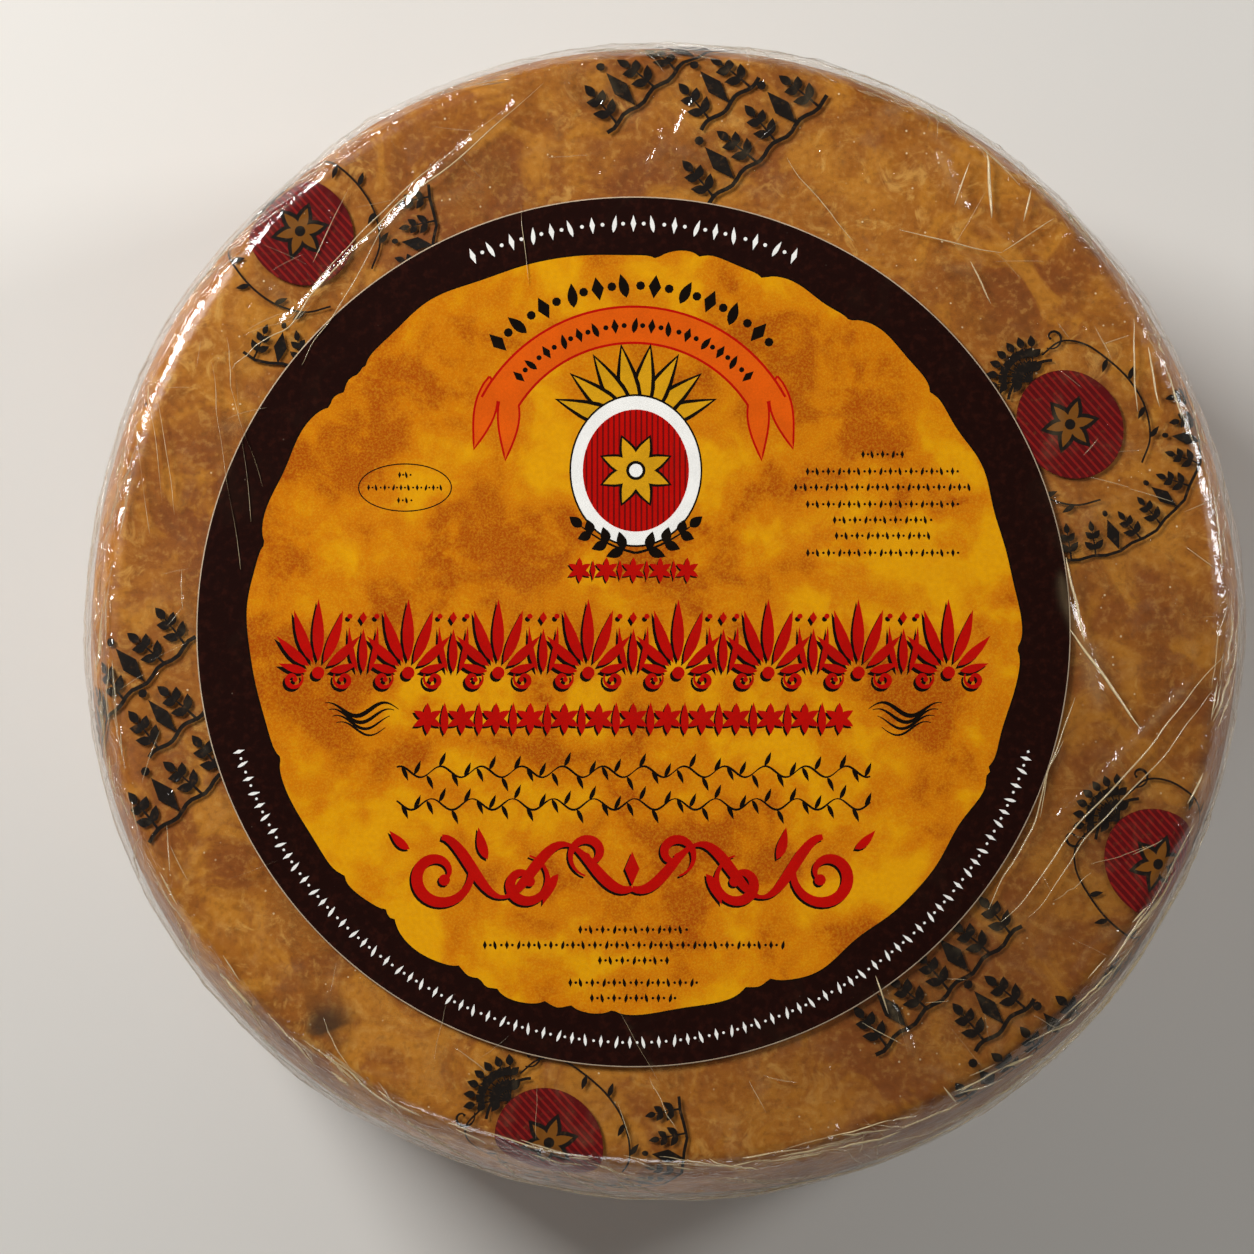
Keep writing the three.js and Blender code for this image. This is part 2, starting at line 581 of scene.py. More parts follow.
def palmette(size):
    # a fan of seven leaves over a pair of curls
    foot = -0.34 * size
    shapes = disc("red", 0, foot, 0.075 * size, 16)
    leaves = [(0, 0.76, 0.14, 0.0)]  # lean in degrees, length, width, bend
    for lean, length, width in ((27, 0.68, 0.13), (54, 0.54, 0.12), (82, 0.36, 0.1)):
        leaves += [(side * lean, length, width, side * 0.12) for side in (-1, 1)]
    for lean, length, width, bend in leaves:
        angle = math.radians(90 - lean)
        x, y = 0.13 * size * math.cos(angle), foot + 0.13 * size * math.sin(angle)
        shapes += leaf("red", x, y, math.degrees(angle), length * size, width * size, bend)
    for side in (-1, 1):
        x, y = 0.3 * size, foot - 0.08 * size
        half = curl("red", x, y, 0.12 * size, 150, 1.1, 0.02 * size, 0.06 * size, 22)
        shapes += mirrored(half, side)
    return shapes


def bud(size):
    # a closed bud between two long curved leaves
    foot = -0.42 * size
    shapes = leaf("red", 0, foot, 90, 0.66 * size, 0.13 * size)
    shapes += lozenge("red", 0, 0.4 * size, 0.11 * size, 0.18 * size)
    for side in (-1, 1):
        half = leaf("red", 0.08 * size, foot, 68, 0.7 * size, 0.09 * size, 0.2)
        half += disc("red", 0.2 * size, 0.42 * size, 0.04 * size, 10)
        shapes += mirrored(half, side)
    return shapes


def labelPrint():
    rng = np.random.default_rng(5)
    prints = []
    turn, reach = tornEdge(label["parchment"], rng)
    prints.append(("brown", polar(turn, np.full(len(turn), labelRadius - label["edge"]))))
    prints.append(("black", polar(turn, reach + label["outline"])))
    prints.append(("parchment", polar(turn, reach)))

    # white marks round the brown ring
    prints += onArc(beads("white", 56, 3.0, 0.72), 0, 0, 66.9, 90)
    prints += onArc(beads("white", 172, 2.1, 0.72), 0, 0, -67.4, 270)

    # arch: a black row over a ribbon whose ends hang down in two points
    centre = 24.9
    prints += onArc(beads("black", 52, 4.2, 1.2), 0, 25.6, 31.0, 90)
    outer, inner = arcLine(0, centre, 28.2, 152, 28, 40), arcLine(0, centre, 22.2, 32, 148, 40)
    for side in (-1, 1):
        for x, y, lean, length, bend in ((23.6, 41.6, -87, 12.2, 0.16), (20.8, 40.6, -97, 12.8, 0.14)):
            tail = mirrored(leaf("orange", x, y, lean, length, 3.6, bend, 12), side)
            prints += tail + stroke("red", np.concatenate([tail[0][1], tail[0][1][:1]]), 0.35)
    prints.append(("orange", np.concatenate([outer, inner])))
    prints += stroke("red", outer, 0.4) + stroke("red", inner, 0.4)
    prints += onArc(beads("black", 44, 2.7, 1.1), 0, centre, 25.1, 90)

    # medallion: striped oval with a flower, a fan of leaves above and twigs below
    x, y, tall = 0.4, 26.0, 1.16
    for angle in range(20, 161, 20):
        prints += leaf("black", x, y + 7, angle, 14.2, 4.0)
        prints += leaf("gold", x, y + 7, angle, 13.4, 2.7)
    for ink, radius in (("black", 10.9), ("white", 10.6), ("red", 8.7)):
        prints += disc(ink, x, y, radius, 60, tall)
    for stripe in np.arange(-8.1, 8.2, 0.9):
        half = tall * math.sqrt(8.6**2 - stripe**2)
        prints += stroke("maroon", [(x + stripe, y - half), (x + stripe, y + half)], 0.3)
    prints += rosette("black", x, y, 6.4, 8, 3.1, 22.5) + rosette("gold", x, y, 5.8, 8, 2.3, 22.5)
    prints += disc("black", x, y, 1.6, 18) + disc("white", x, y, 1.1, 18)
    for side in (-1, 1):
        twig = sprig("black", 0, 0, 12, 9.5, 3, 3.4, 1.7, 0.25)
        prints += placed(mirrored(twig, side), x, y - 13.6)

    # small oval with three rows
    x, y = -37.4, 23.2
    turn = np.linspace(0, 2 * math.pi, 49)
    oval = np.stack([x + 7.6 * np.cos(turn), y + 3.9 * np.sin(turn)], axis=1)
    prints += stroke("black", oval, 0.2)
    for width, rise in ((2.4, 2.1), (12.6, 0.0), (2.8, -2.1)):
        prints += placed(beads("black", width, 1.2), x, y + rise)

    # small rows at the right and at the foot
    for x, height, rows in label["smallRows"]:
        for y, width in rows:
            prints += placed(beads("black", width, height), x, y)

    # red friezes with black shadows
    small, y, pitch = [], 9.6, 4.4
    for i in range(5):
        x = (i - 2) * pitch
        small += rosette("red", x, y, 2.1, 6, 0.95, 90) + disc("red", x, y, 0.5, 10)
        if i < 4:
            small += lozenge("red", x + pitch / 2, y, 0.9, 3.6)
    prints += shadowed(small, (-0.2, -0.25))
    large = []
    for i in range(15):
        shape = bud(11.0) if i % 2 else palmette(13.6)
        large += placed(shape, (i - 7) * 7.35, -2.6)
    prints += shadowed(large, (-0.4, -0.5))
    row, y, pitch = [], -14.7, 5.6
    for i in range(13):
        x = (i - 6) * pitch
        row += rosette("red", x, y, 2.6, 6, 1.2, 90) + disc("red", x, y, 0.7, 12)
        if i < 12:
            row += leaf("red", x + pitch / 2, y - 2.7, 90, 5.4, 1.3)
    prints += shadowed(row, (-0.3, -0.35))

    # pen flourishes beside the small frieze
    for side in (-1, 1):
        pen = []
        for i in range(4):
            t = np.linspace(0.06 * i, 1 - 0.05 * i, 22)
            rise = 1.6 - 1.05 * i + 1.1 * np.sin(2.6 * math.pi * t + 0.5 * i)
            line = np.stack([12 * t - 6, rise], axis=1)
            pen += stroke("black", line, swelling(22, 0.12, 0.75 - 0.12 * i))
        prints += placed(mirrored(pen, side), side * 44.3, -14.8)

    # two thin vine rows
    for y, phase in ((-23.4, 0.0), (-28.7, 1.4)):
        along = np.linspace(-38.6, 38.6, 190)
        wave = 0.9 * np.sin(along * 0.95 + phase)
        widths = 0.18 + 0.2 * np.abs(np.sin(along * 0.475))
        prints += stroke("black", np.stack([along, y + wave], axis=1), widths)
        for i in range(38):
            spot = -37.8 + i * 2.04
            side = 1 if i % 2 else -1
            lift = 0.9 * math.sin(spot * 0.95 + phase)
            prints += leaf("black", spot, y + lift, side * 60, 2.6, 0.75, 0.1 * side)

    # large red scroll
    flow = []
    for side in (-1, 1):
        half = curl("red", 31.5, -1.0, 6.2, 95, 1.35, 0.4, 1.9, 44)
        t = np.linspace(0, 1, 40)
        rise = 5.2 * np.cos(3.1 * math.pi * t) * (1 - 0.35 * t)
        sweep = np.stack([31.0 - 31.0 * t, rise], axis=1)
        half += stroke("red", sweep, 0.5 + 1.3 * np.abs(np.sin(np.linspace(0.3, 2.9 * math.pi, 40))))
        half += curl("red", 17.5, -2.2, 4.4, 100, 1.2, 0.3, 1.7)
        half += curl("red", 7.0, 2.4, 3.6, -80, 1.1, 0.3, 1.5)
        half += leaf("red", 23.5, 1.5, 62, 5.4, 1.7, 0.2) + leaf("red", 12.0, -0.8, -52, 5.6, 1.7, -0.2)
        half += leaf("red", 36.2, 3.2, 28, 4.4, 1.5, 0.25)
        flow += mirrored(half, side)
    flow += lozenge("red", 0, 0, 2.4, 5.6)
    prints += shadowed(placed(flow, -0.2, -39.2), (-0.3, -0.35))
    return facingUp(prints)


def paperMaterial(name, build):
    g = Graph(name)
    grain = g.noise(0.35, 4, 0.7)
    fibres = g.noise(0.9, 3, 0.6, 1.5, g.places((1, 0.35, 1)))
    colour = build(g, grain)
    normal = g.bump(grain * 0.6 + fibres * 0.5, 0.05, 0.45)
    sockets = {"Base Color": colour, "Roughness": label["gloss"] + grain * 0.2}
    sockets |= {"Normal": normal, "Specular IOR Level": 0.04}
    return g.finish(g.add("ShaderNodeBsdfPrincipled", {}, sockets))


def solidInk(code, drift=0.16):
    # an even ink, a little lighter and darker with the paper's grain
    def build(g, grain):
        dark = tuple(c * (1 - drift) for c in hue(code)[:3]) + (1,)
        light = tuple(min(c * (1 + drift), 1) for c in hue(code)[:3]) + (1,)
        return g.mix(g.step(grain * 0.5 + g.noise(5) * 0.5, 0.35, 0.65), dark, light)

    return build


def brownInk(g, grain):
    colour = g.mix(g.step(g.noise(1.3, 3, 0.6), 0.45, 0.75), hue(label["brown"]), hue(label["scuff"]))
    dust = g.step(g.cells(3.4), 0.05, 0.025) * g.step(g.noise(9, 2), 0.5, 0.6)
    return g.mix(dust * 0.4, colour, hue(label["dust"]))


def parchmentInk(g, grain):
    blot = g.noise(17, 3, 0.5, 0.4)
    spread = g.noise(7, 4, 0.58, 0.4)
    speckle = g.noise(0.7, 3, 0.7)
    tone = blot * 0.6 + spread * 0.33 + speckle * 0.07
    colour = g.mix(g.step(tone, 0.40, 0.50), hue(label["burnt"]), hue(label["warm"]))
    colour = g.mix(g.step(tone, 0.49, 0.60), colour, hue(label["light"]))
    colour = g.mix(g.step(speckle, 0.3, 0.7) * 0.28, colour, hue(label["rust"]))
    return g.mix(g.step(grain, 0.4, 0.7) * 0.22, colour, hue(label["straw"]))


labelInks = {
    "paper": solidInk("b9a48a"),
    "brown": brownInk,
    "parchment": parchmentInk,
    "black": solidInk("0e0602"),
    "white": solidInk("f0eee8", 0.05),
    "red": solidInk("b40600", 0.1),
    "orange": solidInk("d85806", 0.1),
    "gold": solidInk("cf9610", 0.12),
    "maroon": solidInk("6d0605", 0.1),
}


def buildLabel():
    names = list(labelInks)
    prints = labelPrint()
    edgeCount = 420
    turn = np.arange(edgeCount) / edgeCount * 2 * math.pi
    spots = [Vector(spot) for spot in polar(turn, np.full(edgeCount, labelRadius))]
    disk = {"run": np.array([0, labelRadius]), "r": np.array([0, labelRadius])}
    run, angle = rings(1.0, labelRadius - 1.0, lambda s: label["spacing"], disk)
    spots += [Vector((s * math.cos(a), s * math.sin(a))) for s, a in zip(run, angle)]
    outlines = []
    for _, outline in prints:
        outlines.append(list(range(len(spots), len(spots) + len(outline))))
        spots += [Vector(spot) for spot in outline]
    found, _, faces, firsts, _, _ = delaunay_2d_cdt(spots, [], outlines, 0, 1e-4, True)
    flat = np.array([tuple(spot) for spot in found])
    tops = printedOn(flat, faces, [outline for _, outline in prints])
    slots = [names.index(prints[top - 1][0]) if top else 0 for top in tops]
    rim = [i for i, first in enumerate(firsts) if any(f < edgeCount for f in first)]
    rim.sort(key=lambda i: math.atan2(flat[i, 1], flat[i, 0]))

    place = np.column_stack([flat + labelMiddle, np.full(len(flat), labelHigh[2])])
    place[:, 2] += swell(place) - label["sink"]
    count = len(rim)
    points, allFaces = [place], [tuple(face) for face in faces]
    outer, first = rim, len(place)
    for share in np.linspace(1, 0.1, 10):  # the back of the paper, ring by ring
        ring = labelMiddle + (place[rim, :2] - labelMiddle) * share
        back = np.column_stack([ring, np.full(count, labelHigh[2])])
        back[:, 2] += swell(back) - label["sink"] - label["thickness"]
        points.append(back)
        inner = list(range(first, first + count))
        for i in range(count):
            j = (i + 1) % count
            allFaces.append((outer[j], outer[i], inner[i], inner[j]))
        outer, first = inner, first + count
    allFaces.append(tuple(outer[::-1]))
    slots += [0] * (len(allFaces) - len(faces))
    points = np.concatenate(points)
    materials = [paperMaterial("label" + name.capitalize(), labelInks[name]) for name in names]
    piece = makeObject("labelDisc", points, allFaces, materials, slots)
    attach(piece, "root")
    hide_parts("label")
    print("label faces", len(allFaces))


buildLabel()
print("label ready")


def filmShader(g, haze, normal, shine, roughness, tint):
    # clear film, milky where haze is high, mirroring like a thin skin
    clear = g.add("ShaderNodeBsdfTransparent", {}, {"Color": (1, 1, 1, 1)})
    cloth = {"Base Color": hue(tint), "Roughness": 0.4, "Normal": normal}
    milk = g.add("ShaderNodeBsdfPrincipled", {}, cloth)
    gloss = {"Base Color": (1, 1, 1, 1), "Metallic": 1.0, "Roughness": roughness, "Normal": normal}
    mirror = g.add("ShaderNodeBsdfPrincipled", {}, gloss)
    film = g.add("ShaderNodeMixShader", {}, {0: haze.clamped(), 1: clear, 2: milk})
    return g.finish(g.add("ShaderNodeMixShader", {}, {0: g.sheen(normal, shine), 1: film, 2: mirror}))


# printed wrap: clear film with a repeated print, drawn tight over the cheese
wrap = {
    "gaps": (1.15, 0.95, 0.35),
    "spacing": 2.2,
    "gather": 0.06,  # mm, its own fine puckers
    "turn": 42,  # degrees, the print's own slant
    # prints on the top: middle and kind
    "onTop": (
        (-60, 62, "roundel"),
        (66.6, 30, "roundel"),
        (80, -42, "roundel"),
        (-19, -88, "roundel"),
        (6, 84, "rows"),
        (50, -67, "rows"),
        (-84, -20, "rows"),
    ),
    # prints round the side: degrees and kind
    "onSide": (
        (8, "rows"),
        (58, "roundel"),
        (108, "rows"),
        (160, "roundel"),
        (205, "rows"),
        (232, "roundel"),
        (286, "roundel"),
        (312, "rows"),
        (345, "roundel"),
    ),
    "sideRun": 152,  # how far from the middle of the top they lie
    "black": "17100b",
    "maroon": "5a0507",
    "stripe": "861410",
    "gold": "7c4a10",
    "worn": "7a5228",
    "haze": "cf9848",
}


def roundelPrint():
    # a striped oval with a flower, leaves over it, tendrils round it and an arc of marks below
    vine = [(4.2, 11.6), (8.0, 11.2), (10.6, 8.4), (11.8, 4.0)]
    vine += [(12.2, -1.0), (11.2, -6.0), (8.4, -10.4), (4.6, -12.6)]
    tendril = stroke("black", softened(vine), 0.32)
    shapes = []
    for angle in range(42, 139, 16):
        shapes += sprig("black", 0, 9.5, angle, 5.6, 2, 2.5, 1.3, 0.1)
    shapes += stroke("black", arcLine(0, 4.0, 7.6, 50, 130, 16), 0.5)
    for side in (-1, 1):
        shapes += mirrored(tendril, side)
        shapes += mirrored(curl("black", 7.4, 12.6, 2.0, 200, 0.9, 0.2, 0.45, 18), side)
        for spot, lean in ((3, -150), (4, 30), (5, -160), (6, 10)):
            shapes += mirrored(leaf("black", *vine[spot], lean, 2.4, 0.9), side)
    shapes += disc("maroon", 0, 0, 8.4, 44, 1.12)
    for stripe in np.arange(-7.8, 7.9, 1.05):
        half = 1.12 * math.sqrt(8.3**2 - stripe**2)
        line = np.linspace((stripe, -half), (stripe, half), 3 + round(half))
        shapes += stroke("stripe", line, 0.36)
    shapes += rosette("black", 0, 0, 5.0, 6, 2.8, 30) + rosette("gold", 0, 0, 4.0, 6, 1.6, 30)
    shapes += disc("black", 0, 0, 0.9, 12)
    return shapes + onArc(heavyRow(46, 5.6), 0, 0, -19.5, 270)


def heavyRow(width, height):
    # upright sprigs and lozenges side by side on a stem
    shapes = []
    count = max(3, round(width / (height * 0.62)))
    gap = width / count
    foot = -height / 2
    for i in range(count):
        x = (i + 0.5) * gap - width / 2
        if i % 3 == 1:
            shapes += lozenge("black", x, 0, gap * 0.62, height * 0.95)
            shapes += disc("black", x, height * 0.66, height * 0.1, 8)
        else:
            lean = 96 if i % 3 else 84
            shapes += sprig("black", x, foot, lean, height * 0.75, 2, height * 0.42, height * 0.2, 0.05)
    along = np.linspace(-width / 2, width / 2, 24)
    stem = np.stack([along, foot + 0.05 * height * np.sin(along)], axis=1)
    return shapes + stroke("black", stem, height * 0.09)


def rowsPrint(rng):
    # three rows of heavy marks
    shapes = []
    for width, x, y in ((31, 0, 10), (12, 3, 0), (28, 2, -10)):
        shapes += placed(heavyRow(width + rng.uniform(-1, 1), 7.6), x, y)
    return shapes


def softened(points):
    # a smooth line through a few points
    steps = 8
    points = np.asarray(points, float)
    ends = np.concatenate([[2 * points[0] - points[1]], points, [2 * points[-1] - points[-2]]])
    line = []
    for a, b, c, d in zip(ends, ends[1:], ends[2:], ends[3:]):
        square, cube = 2 * a - 5 * b + 4 * c - d, 3 * b - a - 3 * c + d
        for t in np.arange(steps) / steps:
            line.append(0.5 * (2 * b + (c - a) * t + square * t**2 + cube * t**3))
    line.append(points[-1])
    return np.array(line)


def divided(outline):
    # points added along long edges, so that a shape can bend over the rim
    longest = 1.5
    points = []
    for start, end in zip(outline, np.roll(outline, -1, axis=0)):
        steps = max(1, math.ceil(math.dist(start, end) / longest))
        points += [start + (end - start) * i / steps for i in range(steps)]
    return np.array(points)


def wrapPrint(shape):
    rng = np.random.default_rng(8)
    roundel = roundelPrint()
    prints = []
    for x, y, kind in wrap["onTop"]:
        prints += placed(rowsPrint(rng) if kind == "rows" else roundel, x, y, wrap["turn"])
    for angle, kind in wrap["onSide"]:
        shapes = rowsPrint(rng) if kind == "rows" else roundel
        # round the side the unrolled plane is too wide, so marks are laid by their true girth
        for ink, outline in placed(shapes, 0, 0, wrap["turn"] + 17 * math.sin(angle)):
            run = wrap["sideRun"] - outline[:, 1]
            girth = np.interp(run, shape["run"], shape["r"])
            turn = math.radians(angle) + outline[:, 0] / girth
            prints.append((ink, polar(turn, run)))
    reach = shape["length"] - shape["face"] - 1.5
    prints = [(ink, divided(outline)) for ink, outline in prints]
    return facingUp([(ink, outline) for ink, outline in prints if np.hypot(*outline.T).max() < reach])


def wrapFilmMaterial():
    g = Graph("wrapFilm")
    cloudy = g.step(g.noise(12, 4, 0.65, 0.8), 0.48, 0.74)
    threads = g.step(1 - abs(g.noise(3.2, 3, 0.62, 1.6) * 2 - 1), 0.93, 0.99)
    haze = cloudy * 0.06 + threads * cloudy * 0.22
    normal = g.bump(g.noise(2.4, 3, 0.6, 0.8), 0.25, 0.5)
    return filmShader(g, haze, normal, 0.4, 0.2, wrap["haze"])


def wrapInkMaterial(name, code):
    g = Graph(name)
    rub = g.noise(1.1, 4, 0.65)
    colour = g.mix(g.step(rub, 0.55, 0.78) * 0.35, hue(code), hue(wrap["worn"]))
    normal = g.bump(g.noise(2.4, 4, 0.6, 0.8), 0.25, 0.4)
    sockets = {"Base Color": colour, "Roughness": 0.34 + rub * 0.2}
    sockets |= {"Normal": normal, "Specular IOR Level": 0.15}
    return g.finish(g.add("ShaderNodeBsdfPrincipled", {}, sockets))


def buildWrap():
    shape = section(wrap["gaps"])
    inks = ["black", "maroon", "stripe", "gold"]
    prints = wrapPrint(shape)
    run, angle, top, under, owners = wrapMesh(shape, lambda s: wrap["spacing"], prints)
    slots = [inks.index(prints[owner - 1][0]) + 1 if owner else 0 for owner in owners]
    slots += [0] * len(under)
    base = onSection(shape, run, angle)
    lift = swell(base) + wrap["gather"] * cloud(base, 3.1, 31) * smooth(base[:, 2], 1, 8)
    materials = [wrapFilmMaterial()]
    materials += [wrapInkMaterial("wrapInk" + ink.capitalize(), wrap[ink]) for ink in inks]
    piece = makeObject("printedWrapFilm", onSection(shape, run, angle, lift), top + under, materials, slots)
    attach(piece, "root")
    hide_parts("printed_wrap")
    print("wrap faces", len(top) + len(under))


buildWrap()
print("wrap ready")


# vacuum pouch: clear film with folds, creases and glints
pouch = {
    "gaps": (0.9, 0.35, 0.05),
    "labelRise": 0.3,  # how far the label lifts the film
    "spacings": (2.4, 0.74, 1.55),  # over the label, on the ring round it, down the side
    # long folds on the top: from, to, height, width
    "folds": (
        (-20, 87, -71, 39, 0.8, 0.9),
        (-25, 82, -66, 44, 0.4, 0.7),
        (89, -9, 62, -37, 0.8, 0.9),
        (88, -16, 66, -37, 0.4, 0.7),
        (64, 8, 72, -20, 0.9, 2.0),
        (45, 76, 50, 64, 1.0, 1.2),
        (50, 64, 57, 60, 0.7, 0.9),
        (41, 79, 57, 70, 0.6, 0.9),
        (34, -60, 41, -74, 0.8, 0.8),
        (41, -74, 52, -78, 0.6, 0.8),
        (-8, -66, -1, -78, 0.6, 0.7),
        (-60, -52, -70, -60, 0.4, 0.7),
    ),
    # short folds on the open ring: how many, distance of the start, length, height, width
    "shortFolds": (170, (70, 91), (5, 20), (0.12, 0.5), (0.35, 0.9)),
    # folds round the side: how many, distance of the start, length, slant (mean, spread), height
    "sideFolds": (
        (130, (90.5, 95.5), (5, 18), (0.0, 0.2), (0.2, 0.6)),
        (150, (90, 104), (10, 40), (1.5, 0.6), (0.12, 0.4)),
        (170, (100, 176), (25, 80), (0.25, 0.3), (0.1, 0.32)),
    ),
    "haze": "e4c894",
}


def facets(flat, size, seed):
    # random flat triangles, as in crumpled film: 0 to 1
    heights = np.random.default_rng(seed).uniform(0, 1, (64, 64))
    skew = np.stack([flat[:, 0] - flat[:, 1] / math.sqrt(3), flat[:, 1] * 2 / math.sqrt(3)], axis=1) / size
    cell = np.floor(skew).astype(int)
    u, v = (skew - cell).T
    i, j = cell.T % 64
    i2, j2 = (i + 1) % 64, (j + 1) % 64
    low = heights[i, j] * (1 - u - v) + heights[i2, j] * u + heights[i, j2] * v
    high = heights[i2, j2] * (u + v - 1) + heights[i, j2] * (1 - u) + heights[i2, j] * (1 - v)
    return np.where(u + v < 1, low, high)


def foldLift(flat, start, end, height, width, wobble):
    # a fold with a sharp crest between two spots, fading at both ends
    along = np.subtract(end, start)
    length = math.hypot(*along)
    along = along / length
    away = flat - start
    share = (away @ along) / length
    side = away[:, 0] * along[1] - away[:, 1] * along[0] + wobble
    fade = smooth(share, -0.08, 0.2) * smooth(1.08 - share, 0, 0.3)
    return height * fade * np.exp(-np.abs(side) / width)


def pouchLift(run, angle, base):
    rng = np.random.default_rng(17)
    flat = polar(angle, run)
    wide = np.column_stack([flat, np.zeros(len(flat))])
    wobble = 1.1 * cloud(wide, 9, 41) + 0.4 * cloud(wide, 3, 42)
    fromLabel = np.hypot(*(base[:, :2] - labelMiddle).T)
    onTop = base[:, 2] > wheelHeight - 3
    clear = smooth(fromLabel, labelRadius - 0.2, labelRadius + 1.6) * onTop
    loose = smooth(fromLabel, labelRadius - 1, labelRadius + 2) * 0.94 + 0.06
    loose = np.where(onTop, loose, 1) * smooth(base[:, 2], 0.6, 8)

    lift = np.zeros(len(flat))
    for x0, y0, x1, y1, height, width in pouch["folds"]:
        lift = np.maximum(lift, foldLift(flat, (x0, y0), (x1, y1), height, width, wobble * 0.5))
    number, starts, sizes, heights, widths = pouch["shortFolds"]
    for _ in range(number):
        reach, turn = rng.uniform(*starts), rng.uniform(0, 2 * math.pi)
        start = np.array([reach * math.cos(turn), reach * math.sin(turn)])
        lean = turn + rng.normal(0, 0.9)
        size = rng.uniform(*sizes)
        end = start + size * np.array([math.cos(lean), math.sin(lean)])
        near = np.hypot(*(flat - start).T) < size + 6
        height, width = rng.uniform(*heights), rng.uniform(*widths)
        extra = foldLift(flat[near], start, end, height, width, wobble[near])
        lift[near] = np.maximum(lift[near], extra * loose[near])

    # round the side folds are laid out as girth against distance down the side
    girth = wheelRadius * angle
    whole = wheelRadius * 2 * math.pi
    for count, starts, sizes, lean, heights in pouch["sideFolds"]:
        for _ in range(count):
            middle, start, size = rng.uniform(0, whole), rng.uniform(*starts), rng.uniform(*sizes)
            slant = rng.normal(*lean)
            away = (girth - middle + whole / 2) % whole - whole / 2
            near = (np.abs(away) < size + 6) & (np.abs(run - start) < size + 6) & (run > 86)
            strip = np.column_stack([away[near], run[near]])
            end = (size * math.cos(slant), start + size * math.sin(slant))
            height, width = rng.uniform(*heights), rng.uniform(0.5, 1.1)
            extra = foldLift(strip, (0, start), end, height, width, wobble[near] * 0.7)
            lift[near] = np.maximum(lift[near], extra * loose[near])

    bent = flat + 2.2 * np.column_stack([cloud(wide, 11, 43), cloud(wide, 11, 44)])
    crumple = 0.34 * facets(bent, 8.5, 45) + 0.17 * facets(bent * 1.1, 4.1, 46)
    crumple += 0.08 * facets(bent, 2.1, 47)
    slack = 0.35 + 0.65 * smooth(cloud(wide, 23, 48), -0.35, 0.35)
    lift = lift + crumple * loose * slack
    return lift * smooth(base[:, 2], 0.3, 5), -pouch["labelRise"] * clear, loose


def pouchMaterial():
    g = Graph("pouchFilm")
    veil, loose, side = g.value("veil"), g.value("loose"), g.value("side")
    crease = g.cells(7, "DISTANCE_TO_EDGE")  # straight creases where cells meet
    pleats = 1 - abs(g.noise(7, 2, 0.55, 0.7, g.places((1, 1, 4.5))) * 2 - 1)
    cloudy = g.step(g.noise(10, 3, 0.6, 1.0), 0.52, 0.74)
    haze = veil * 0.14 + (cloudy * 0.05 + g.step(pleats, 0.95, 1.0) * side * 0.08) * loose
    ridge = g.step(crease, 0.10, 0.0) * cloudy * 0.6 + g.step(pleats, 0.9, 1.0) * side * 0.7
    soft = g.noise(2.6, 3, 0.6, 1.0) * 0.9
    normal = g.bump((ridge + soft) * (loose * 0.92 + 0.08), 0.32, 0.65)
    return filmShader(g, haze, normal, 0.9 + loose * 1.2, 0.08, pouch["haze"])


def creaseMaterial():
    g = Graph("pouchCreases")
    strength = g.value("strength")
    haze = strength * (0.25 + g.noise(2.2, 2, 0.6) * 1.1)
    return filmShader(g, haze, g.bump(g.noise(1.1, 2, 0.6), 0.1, 0.4), 1.4, 0.16, creases["haze"])


def buildPouch():
    shape = section(pouch["gaps"])

    def spacing(run):
        # wide over the label, fine on the ring round it, middling down the side
        inner, ring, side = pouch["spacings"]
        onRing, onSide = float(smooth(run, 52, 64)), float(smooth(run, 104, 122))
        return inner + (ring - inner) * onRing + (side - ring) * onSide

    run, angle, top, under, _ = wrapMesh(shape, spacing)
    base = onSection(shape, run, angle)
    lift, drop, loose = pouchLift(run, angle, base)
    place = onSection(shape, run, angle, lift + drop + swell(base))
    place[:, 2] = np.maximum(place[:, 2], 0)
    piece = makeObject("pouchFilmBody", place, top + under, [pouchMaterial()])
    side = smooth(run, shape["face"] - 1, shape["face"] + 4)
    addValues(piece, {"veil": smooth(lift, 0.35, 1.3), "loose": loose, "side": side})
    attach(piece, "root")
    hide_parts("vacuum_pouch")
    print("pouch faces", len(top) + len(under))


buildPouch()
print("pouch ready")


